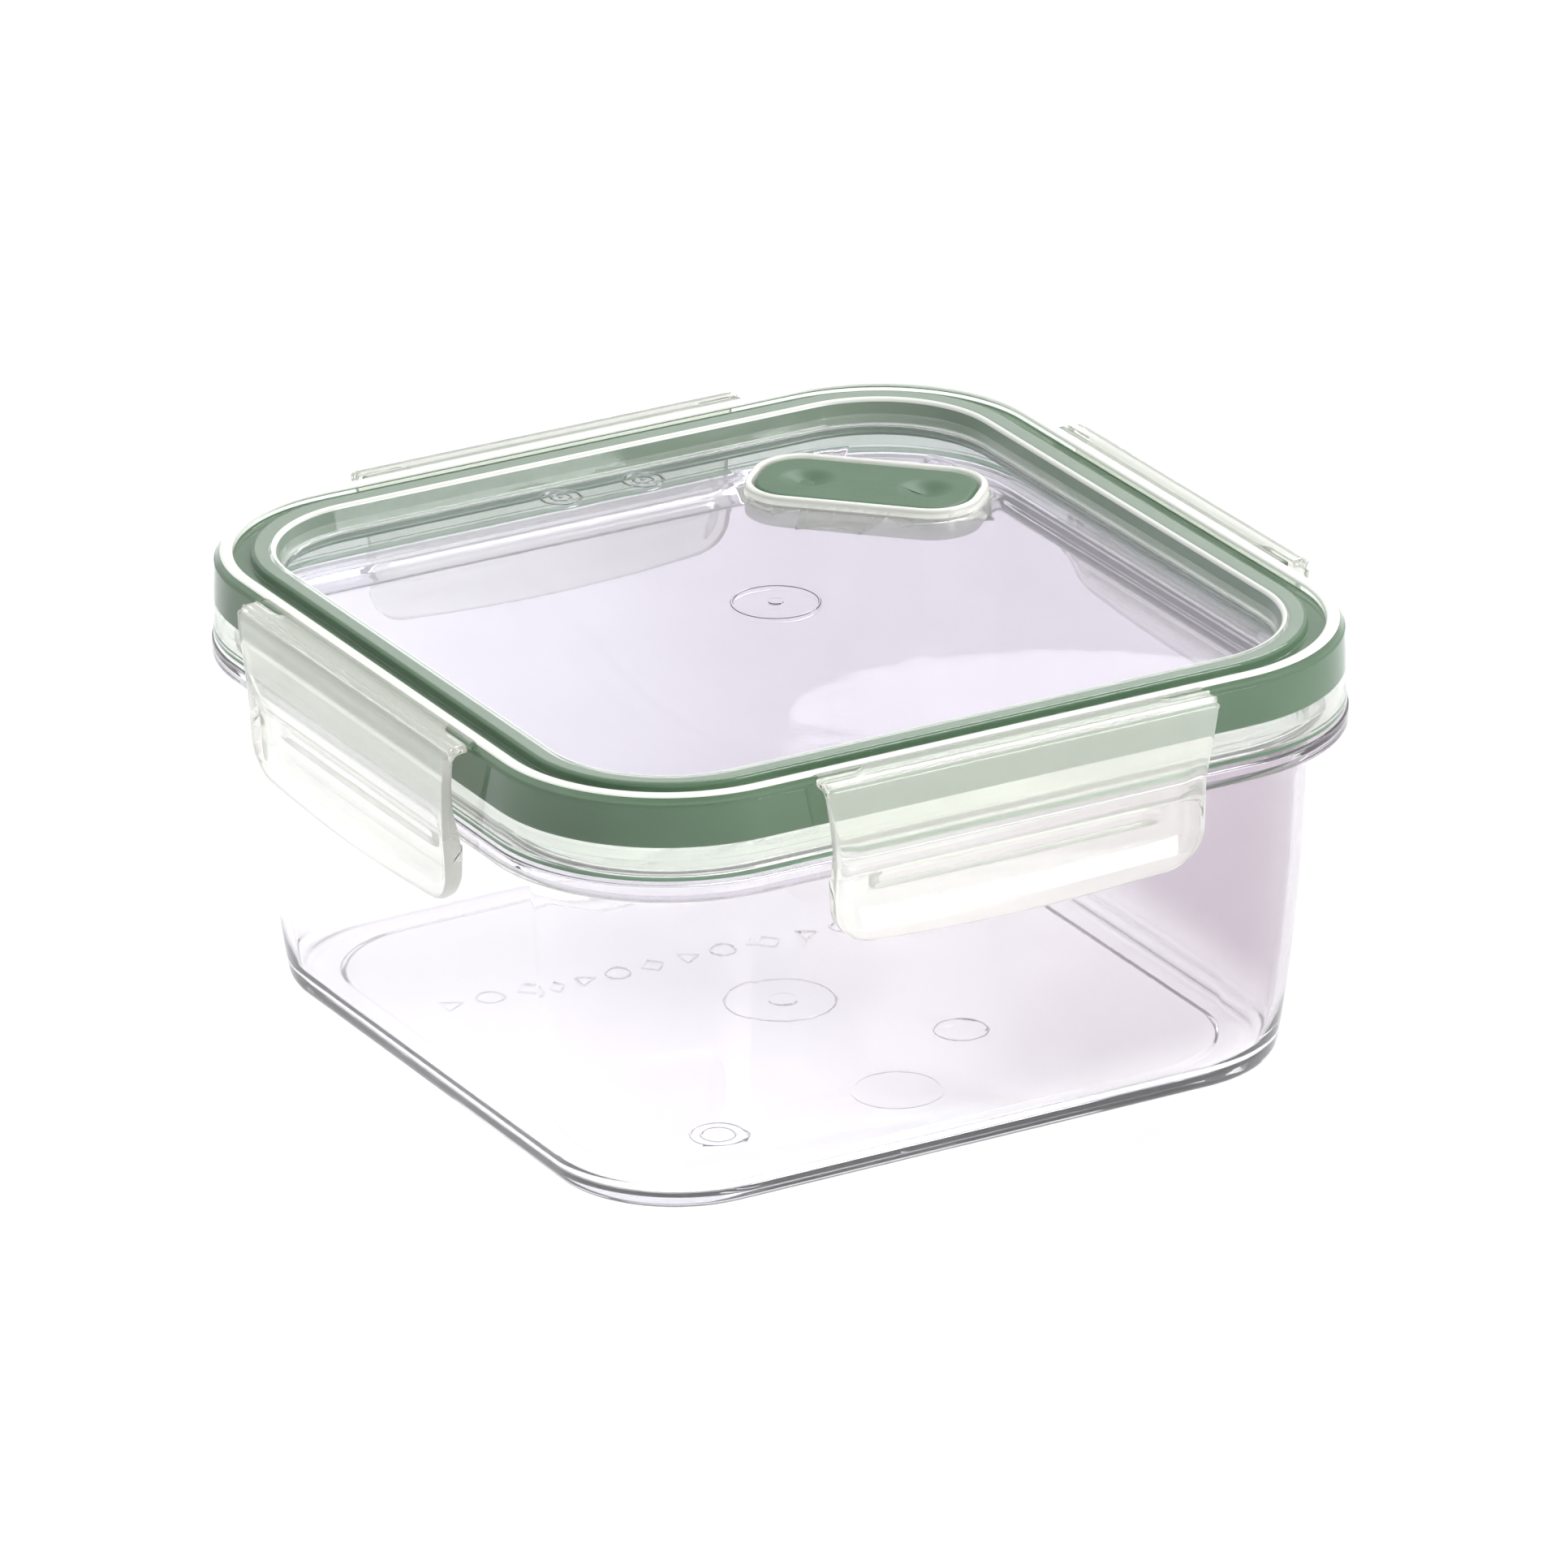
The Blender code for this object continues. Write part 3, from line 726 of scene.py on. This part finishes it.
def build_lid():
    """The lid in one skin, with the vent's pocket and hole, moulded rings and a land for each hinge."""
    work = bmesh.new()
    profile = filleted(lid_profile(), closed=False)
    skin(work, [crowned(square_ring(half, RIM_CENTRE, z)) for half, z in profile], closed=False)
    lid = finish_mesh(work, "milky_lid_shell")
    for _ in range(SLOPE_SLOT + 1):
        lid.data.materials.append(None)
    mark_bands(lid, profile, lid_slot)
    outer = POCKET_CLEAR + POCKET_RIM
    body = [
        (outer, POCKET_FLOOR - POCKET_WALL),
        (outer, POCKET_RIM_TOP - 0.5),
        (outer - 0.15, POCKET_RIM_TOP - 0.15),
        (outer - 0.5, POCKET_RIM_TOP),
    ]
    boolean(lid, bar_solid(body), "vent_pocket_body", "UNION", POCKET_SLOT)
    space = [
        (POCKET_CLEAR, POCKET_FLOOR),
        (POCKET_CLEAR, POCKET_RIM_TOP - 0.4),
        (POCKET_CLEAR + 0.12, POCKET_RIM_TOP - 0.12),
        (POCKET_CLEAR + 0.4, POCKET_RIM_TOP + 0.01),
        (POCKET_CLEAR + 0.4, POCKET_RIM_TOP + 1),
    ]
    boolean(lid, bar_solid(space), "vent_pocket_space", "DIFFERENCE", POCKET_SLOT)
    plug_axes = vent_frame() @ Matrix.Translation((-PLUG_OFFSET, 0, 0))
    hole = rod(plug_axes, HOLE_RADIUS, POCKET_FLOOR - 3, POCKET_FLOOR + 1)
    boolean(lid, hole, "vent_hole", "DIFFERENCE", PANEL_SLOT)
    boolean(lid, panel_marks(), "panel_marks", "UNION", PANEL_SLOT)
    for quarter in range(4):
        low = (WEB_LOW.x - LAND_MARGIN, -SKIRT_HALF, SHOULDER + 0.3)
        high = (WEB_HIGH.x + LAND_MARGIN, -SKIRT_HALF + LAND_DEPTH, RIDGE_TOP - 0.2)
        boolean(lid, block(side_turn(quarter), low, high), f"hinge_land_{quarter}", "UNION")
    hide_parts("lid")
    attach(lid, "lid_body")
    return lid


def build_seal():
    """The green ring in the lid's channel. It bites a little into the lid, so there is no air gap."""
    outer = SKIRT_HALF - SKIRT_WALL + SEAL_BITE
    inner = CHANNEL_INNER - SEAL_BITE
    ridge_outer = GROOVE_INNER - SKIN + SEAL_BITE
    middle = GROOVE_FLOOR - SKIN + SEAL_BITE
    outline = [
        (outer, SHOULDER - 0.25, 0.4),
        (outer + 0.2, SEAL_OUTER_BOTTOM, 0.5),
        (NECK_OUTER + 0.6, SEAL_OUTER_BOTTOM, 0.3),
        (NECK_OUTER + 0.3, NECK_TOP + 0.3, 0.5),
        (NECK_INNER - 0.3, NECK_TOP + 0.3, 0.5),
        (NECK_INNER - 0.6, SEAL_INNER_BOTTOM - 2, 0.5),
        (inner, SEAL_INNER_BOTTOM, 0.5),
        (inner, RIDGE_TOP - SKIN + SEAL_BITE, 0.4),
        (ridge_outer, RIDGE_TOP - SKIN + SEAL_BITE, 0.5),
        (ridge_outer, middle, 0.2),
        (GROOVE_OUTER + 0.75, middle, 0.3),
        (GROOVE_OUTER + 0.85, SHOULDER - 0.25, 0.2),
    ]
    work = bmesh.new()
    rings = [square_ring(half, RIM_CENTRE, z) for half, z in filleted(outline, closed=True)]
    skin(work, rings, closed=True)
    seal = finish_mesh(work, "green_seal_ring")
    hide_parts("lid_seal_ring")
    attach(seal, "lid_body")
    return seal


# ---------------------------------------------------------------- vent


def build_vent():
    """The button has a round edge and two dimples. The plug, fulcrum rib and hook tabs hang under it."""
    work = bmesh.new()
    place = vent_frame()
    bottom = BUTTON_TOP - BUTTON_THICKNESS
    profile = [(-2.0, bottom), (-0.2, bottom), (0.0, bottom + 0.2)]
    edge_steps = 5
    for step in range(edge_steps + 1):
        angle = step * math.pi / (2 * edge_steps)
        inwards, down = BUTTON_EDGE * (1 - math.cos(angle)), BUTTON_EDGE * (1 - math.sin(angle))
        profile.append((-inwards, BUTTON_TOP - down))
    inset = BUTTON_WIDTH / 2 - BUTTON_EDGE - 0.02
    top_rings = 20
    profile += [(-BUTTON_EDGE - inset * i / top_rings, BUTTON_TOP) for i in range(1, top_rings + 1)]
    rings = []
    for grow, z in profile:
        ring = bar_ring(grow, z, per_side=36, arc=12)
        rings.append([tuple(place @ dimpled(point, grow)) for point in ring])
    skin(work, rings, closed=False)
    vent = finish_mesh(work, "vent_button")
    for name, (middle, half, low) in HOOK_TABS.items():
        front = -BUTTON_WIDTH / 2 + TAB_INSET
        tab = hook_tab(middle, half, (front, front + TAB_THICKNESS), (low, bottom + 0.4))
        boolean(vent, tab, name, "UNION")
    plug_axes = place @ Matrix.Translation((-PLUG_OFFSET, 0, 0))
    boolean(vent, rod(plug_axes, PLUG_RADIUS, POCKET_FLOOR + 0.3, bottom + 0.7), "plug", "UNION")
    rib_axes = place @ Matrix.Translation((0, 0, VENT.z)) @ Matrix.Rotation(math.pi / 2, 4, "X")
    rib_end = BUTTON_WIDTH / 2 - RIB_END
    boolean(vent, rod(rib_axes, RIB_RADIUS, -rib_end, rib_end), "fulcrum_rib", "UNION")
    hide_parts("vent_rocker")
    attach(vent, "vent_body")
    return vent


def hook_tab(middle, half, across, heights):
    """A small block with a rounded lower end, in the vent's axes."""
    work = bmesh.new()
    place = vent_frame()
    low, high = heights
    corners = [(-half, high, 0), (half, high, 0), (half, low, 0.7), (-half, low, 0.7)]
    outline = filleted(corners, closed=True)
    rings = [[tuple(place @ Vector((middle + x, y, z))) for x, z in outline] for y in across]
    skin(work, rings, closed=False)
    return work


def rod(axes, radius, low, high):
    """A round rod along the Z of these axes, with a small chamfer at its ends."""
    work = bmesh.new()
    angles = [2 * math.pi * step / ROD_SIDES for step in range(ROD_SIDES)]
    rings = []
    chamfer = 0.3
    for grow, z in ((-chamfer, low), (0, low + chamfer), (0, high - chamfer), (-chamfer, high)):
        reach = radius + grow
        rings.append([tuple(axes @ Vector((reach * math.cos(a), reach * math.sin(a), z))) for a in angles])
    skin(work, rings, closed=False)
    return work


def dimpled(point, grow):
    """Sinks the top of the button inside two round dimples."""
    if grow > -BUTTON_EDGE or point.z < BUTTON_TOP - 0.01:
        return point
    depth = 0.0
    for along in (-DIMPLE_OFFSET, DIMPLE_OFFSET):
        reach = math.hypot((point.x - along) / DIMPLE_REACH[0], point.y / DIMPLE_REACH[1])
        if reach < 1:
            depth += DIMPLE_DEPTH * (1 - reach**2) ** 2
    return Vector((point.x, point.y, point.z - depth))


# ---------------------------------------------------------------- latches


def latch_outline():
    """The section at a latch's middle, from the hinge down the outside to the tip and up the inside."""
    outside = [
        (LATCH_SHELF_END, 78.3, 0.15),
        (81.1, 78.2, 0.1),
        (81.25, 77.95, 0.1),
        (81.45, 78.1, 0.1),
        (82.1, 77.85, 0.1),
        (82.3, 77.45, 0.1),
        (82.6, 77.5, 0.15),
        (83.0, 76.9, 0.7),
        (83.1, 74.8, 0.6),
        (82.95, 71.0, 2.0),
        (82.7, 65.4, 2.0),
        (82.5, 61.5, 3.0),
        (82.3, 58.0, 3.0),
        (82.1, 55.0, 3.0),
        (81.9, 51.5, 2.0),
        (81.4, LATCH_TIP, 0.7),
    ]
    inside = [
        (80.5, LATCH_TIP, 0.4),
        (79.6, 50.8, 2.0),
        (LATCH_INNER, 54.0, 2.0),
        (LATCH_INNER, 57.0, 0.4),
        (LATCH_INNER - 2.0, 57.6, 0.4),
        (LATCH_INNER - 2.3, 58.8, 0.4),
        (LATCH_INNER - 1.8, FLANGE_BOTTOM - 0.3, 0.3),
        (LATCH_INNER + 0.2, FLANGE_BOTTOM - 0.3, 0.3),
        (79.8, 62.4, 1.0),
        (81.0, 66.6, 2.0),
        (81.6, 71.5, 2.0),
        (81.7, 75.8, 0.6),
        (81.2, 76.7, 0.5),
        (LATCH_SHELF_END, 77.3, 0.15),
    ]
    return outside + inside


def latch_half_length(height):
    """A latch narrows a little below its shoulder and has round lower corners."""
    drop = min(max((SHOULDER - height) / TAPER_HEIGHT, 0), 1)
    half = LATCH_HALF - LATCH_TAPER * drop
    into_corner = min(max(LATCH_TIP + LATCH_CORNER - height, 0), LATCH_CORNER)
    return half - LATCH_CORNER + math.sqrt(LATCH_CORNER**2 - into_corner**2)


def densified(points, longest):
    """Adds points so that no stretch of a closed outline is longer than this."""
    dense = []
    for i, here in enumerate(points):
        ahead = points[(i + 1) % len(points)]
        count = max(1, math.ceil(math.dist(here, ahead) / longest))
        for k in range(count):
            t = k / count
            dense.append((here[0] + (ahead[0] - here[0]) * t, here[1] + (ahead[1] - here[1]) * t))
    return dense


def outward_normals(points):
    """Unit normals of a closed outline that runs clockwise, pointing out of it."""
    count = len(points)
    normals = []
    for i in range(count):
        tangent = Vector(points[(i + 1) % count]) - Vector(points[i - 1])
        normals.append(Vector((-tangent.y, tangent.x)).normalized())
    return normals


def latch_shares():
    """Where the cross-sections stand, as shares of the half-length, close together at the rounded ends."""
    end_steps = 8
    angles = [step * math.pi / 2 / end_steps for step in range(end_steps + 1)]
    ends = [1 - LATCH_EDGE * (1 - math.sin(angle)) / LATCH_HALF for angle in angles]
    inner_steps = 72
    middle = [ends[0] * (2 * i / inner_steps - 1) for i in range(1, inner_steps)]
    return [-share for share in reversed(ends)] + middle + ends


def edge_drop(share):
    """How far the outside curves back this near to a latch's end."""
    into_edge = max(LATCH_EDGE - (1 - abs(share)) * LATCH_HALF, 0)
    return LATCH_EDGE - math.sqrt(max(LATCH_EDGE**2 - into_edge**2, 0))


def finger_hollow(share, z):
    """How deep the finger hollow in a latch's face is. It fades out towards the latch's ends."""
    across = smooth_step(*HOLLOW_ENDS, abs(share))
    down = smooth_step(*HOLLOW_TOP, z) * smooth_step(*HOLLOW_BOTTOM, z)
    return HOLLOW_DEPTH * across * down


def rounding_share(normal):
    """How much of the ends' rounding a point takes: all of it outside and little of it inside."""
    towards = ROUNDED_SIDE[0] * normal.x + ROUNDED_SIDE[1] * normal.y
    return min(max(0.5 + 3 * towards, LEAST_ROUNDING), 1)


def build_latch(side, quarter):
    """A row of cross-sections along the side, with round ends, a finger hollow and a bowed lower edge."""
    work = bmesh.new()
    place = side_turn(quarter)
    outline = densified(filleted(latch_outline(), closed=True), OUTLINE_STEP)
    normals = outward_normals(outline)
    rings = []
    for share in latch_shares():
        drop = edge_drop(share)
        fade = smooth_step(RIB_SHARE, RIB_SHARE - RIB_FADE, abs(share))
        ring = []
        for (half, z), normal in zip(outline, normals):
            outside = rounding_share(normal)
            half, z = half - normal.x * drop * outside, z - normal.y * drop * outside
            if half < LATCH_INNER:
                half = LATCH_INNER + (half - LATCH_INNER) * fade
            lowered = max(LATCH_BOW_START - z, 0) / (LATCH_BOW_START - LATCH_TIP)
            x = share * latch_half_length(z)
            if normal.x > 0:
                half -= finger_hollow(share, z)
            ring.append(tuple(place @ Vector((x, -half, z - LATCH_BOW * lowered * (1 - share**2)))))
        rings.append(ring)
    skin(work, rings, closed=False, cap=zipped_cap)
    latch = finish_mesh(work, f"{side}_latch_clip")
    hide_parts(f"{side}_latch")
    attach(latch, f"{side}_latch_body")
    return latch


def build_web(side, quarter):
    """The living hinge's film, a straight strip between the lid's land and the latch's shelf."""
    work = bmesh.new()
    place = side_turn(quarter)
    start, end = SKIRT_HALF - 0.3, LATCH_SHELF_END + 0.15
    middle = HINGE.z + WEB_RISE
    corners = ((-1, -1), (1, -1), (1, 1), (-1, 1))
    rings = []
    for i in range(WEB_STEPS + 1):
        half = start + (end - start) * i / WEB_STEPS
        ring = [(sx * WEB_HIGH.x, -half, middle + sz * WEB_HALF_THICKNESS) for sx, sz in corners]
        rings.append([tuple(place @ Vector(point)) for point in ring])
    skin(work, rings, closed=False)
    web = finish_mesh(work, f"{side}_hinge_film")
    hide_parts(f"{side}_hinge_web")
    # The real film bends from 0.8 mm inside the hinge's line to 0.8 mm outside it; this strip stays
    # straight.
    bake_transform(web)
    return web


# ---------------------------------------------------------------- scene


# The studio: brightest to the sides, dimmer in front of and behind the box along this level axis.
STUDIO_COLOUR = (0.98, 0.985, 1.0, 1)
STUDIO_AXIS = (0.49, 0.87, 0)
STUDIO_SHIFT = 0.25
STUDIO_FADE = {"From Min": 0.45, "From Max": 1.05, "To Min": 1.05, "To Max": 0.45}
# Softboxes: place, target and size in metres, and power in watts. The panel mirrors the far card.
KEY_SOFTBOX = ((0.9, 0.6, 1.3), (0, 0, 0.05), (0.8, 0.8), 13)
FRONT_SOFTBOX = ((0.75, -1.42, 0.48), (0, 0, 0.06), (0.5, 0.85), 11)
CARD_BEARING = (32.36, 23.4, 20.0)
CARD_TARGET = (0, 0, 0.074)
CARD_SIZE = (1.82, 0.56)
CARD_POWER = 1.7
CARD_ROLL = 5
FLOOR_GAP = 0.0002
# Camera: degrees, metres and millimetres of focal length; the target's offsets are in millimetres.
CAMERA_ANGLES = (-29.38, 22.62, -0.59)
CAMERA_DISTANCE = 2.372
CAMERA_OFFSETS = (1.07, 38.0)
CAMERA_SENSOR = 36
CAMERA_LENS = 319.8
CAMERA_CLIP = 50


def paint(obj, *materials):
    """Fills the object's material slots and keeps each face's slot."""
    while len(obj.data.materials) < len(materials):
        obj.data.materials.append(None)
    for slot, material in enumerate(materials):
        obj.data.materials[slot] = material


def build_object():
    """Every piece with its materials. Tub, lid and latches cast no shadow, so light reaches the inside."""
    tub_material = clear_plastic()
    lid_materials = [milky_plastic(*plastic) for plastic in LID_PLASTICS]
    latch_material = milky_plastic(*LATCH_PLASTIC)
    seal_material = green_rubber(*SEAL_RUBBER)
    vent_material = green_rubber(*VENT_RUBBER)
    tub = build_tub()
    lid = build_lid()
    paint(tub, tub_material)
    paint(lid, *lid_materials)
    for clear in (tub, lid):
        clear.visible_shadow = False
    paint(build_seal(), seal_material)
    paint(build_vent(), vent_material)
    for quarter, side in enumerate(SIDES):
        latch = build_latch(side, quarter)
        latch.visible_shadow = False
        paint(latch, latch_material)
        paint(build_web(side, quarter), latch_material)


def build_floor():
    """A plain pale sheet of 8 m, a hair below the foot."""
    mesh = bpy.data.meshes.new("floor")
    reach = 4.0
    corners = [(-reach, -reach, 0), (reach, -reach, 0), (reach, reach, 0), (-reach, reach, 0)]
    mesh.from_pydata(corners, [], [(0, 1, 2, 3)])
    floor = bpy.data.objects.new("floor", mesh)
    floor.location.z = -FLOOR_GAP
    bpy.context.scene.collection.objects.link(floor)
    material, _, shader = node_material("floor_paper")
    shader.inputs["Base Color"].default_value = (0.93, 0.93, 0.94, 1)
    shader.inputs["Roughness"].default_value = 0.9
    mesh.materials.append(material)


def softbox(name, location, target, size, power, roll=0):
    """An area light that faces a point, in metres and watts. Roll turns it about its own axis."""
    light = bpy.data.lights.new(name, "AREA")
    light.shape = "RECTANGLE"
    light.size, light.size_y = size
    light.energy = power
    obj = bpy.data.objects.new(name, light)
    obj.location = location
    facing = (Vector(target) - Vector(location)).to_track_quat("-Z", "Y")
    obj.rotation_euler = (facing @ Quaternion((0, 0, 1), math.radians(roll))).to_euler()
    bpy.context.scene.collection.objects.link(obj)
    return obj


def build_lights():
    """A soft surrounding light and three softboxes. The front one isn't seen through the clear plastic."""
    world = bpy.data.worlds.new("studio")
    bpy.context.scene.world = world
    world.use_nodes = True
    tree = world.node_tree
    background = tree.nodes["Background"]
    background.inputs["Color"].default_value = STUDIO_COLOUR
    direction = tree.nodes.new("ShaderNodeTexCoord").outputs["Generated"]
    towards_back = tree.nodes.new("ShaderNodeVectorMath")
    towards_back.operation = "DOT_PRODUCT"
    towards_back.inputs[1].default_value = STUDIO_AXIS
    tree.links.new(direction, towards_back.inputs[0])
    shifted = tree.nodes.new("ShaderNodeMath")
    shifted.operation = "SUBTRACT"
    shifted.inputs[1].default_value = STUDIO_SHIFT
    tree.links.new(towards_back.outputs["Value"], shifted.inputs[0])
    off_axis = tree.nodes.new("ShaderNodeMath")
    off_axis.operation = "ABSOLUTE"
    tree.links.new(shifted.outputs["Value"], off_axis.inputs[0])
    strength = tree.nodes.new("ShaderNodeMapRange")
    strength.interpolation_type = "SMOOTHSTEP"
    for socket, value in STUDIO_FADE.items():
        strength.inputs[socket].default_value = value
    tree.links.new(off_axis.outputs["Value"], strength.inputs["Value"])
    tree.links.new(strength.outputs["Result"], background.inputs["Strength"])
    softbox("key_softbox", *KEY_SOFTBOX)
    front = softbox("front_softbox", *FRONT_SOFTBOX)
    front.visible_transmission = False
    card = softbox("panel_card", bearing(*CARD_BEARING), CARD_TARGET, CARD_SIZE, CARD_POWER, CARD_ROLL)
    card.data.shape = "ELLIPSE"


def bearing(azimuth, elevation, distance):
    """A point this far from the lid's middle. Azimuth runs from the back (+Y) towards the right (+X)."""
    azimuth, elevation = math.radians(azimuth), math.radians(elevation)
    level = distance * math.cos(elevation)
    height = distance * math.sin(elevation) + PANEL_TOP * MM
    return level * math.sin(azimuth), level * math.cos(azimuth), height


def build_camera():
    """A long lens from the front left, a little above, as the catalogue view of the container."""
    azimuth, elevation, roll = (math.radians(angle) for angle in CAMERA_ANGLES)
    level = math.cos(elevation)
    back = Vector((math.sin(azimuth) * level, -math.cos(azimuth) * level, math.sin(elevation)))
    right = Vector((math.cos(azimuth), math.sin(azimuth), 0))
    up = back.cross(right)
    target = (right * CAMERA_OFFSETS[0] + up * CAMERA_OFFSETS[1]) * MM
    camera = bpy.data.objects.new("camera", bpy.data.cameras.new("camera"))
    bpy.context.scene.collection.objects.link(camera)
    turn = Matrix((right, up, back)).transposed().to_4x4() @ Matrix.Rotation(roll, 4, "Z")
    camera.matrix_world = Matrix.Translation(target + back * CAMERA_DISTANCE) @ turn
    camera.data.sensor_width = CAMERA_SENSOR
    camera.data.lens = CAMERA_LENS
    camera.data.clip_end = CAMERA_CLIP
    bpy.context.scene.camera = camera


bpy.context.scene.view_settings.view_transform = "Standard"
build_object()
build_floor()
build_lights()
build_camera()
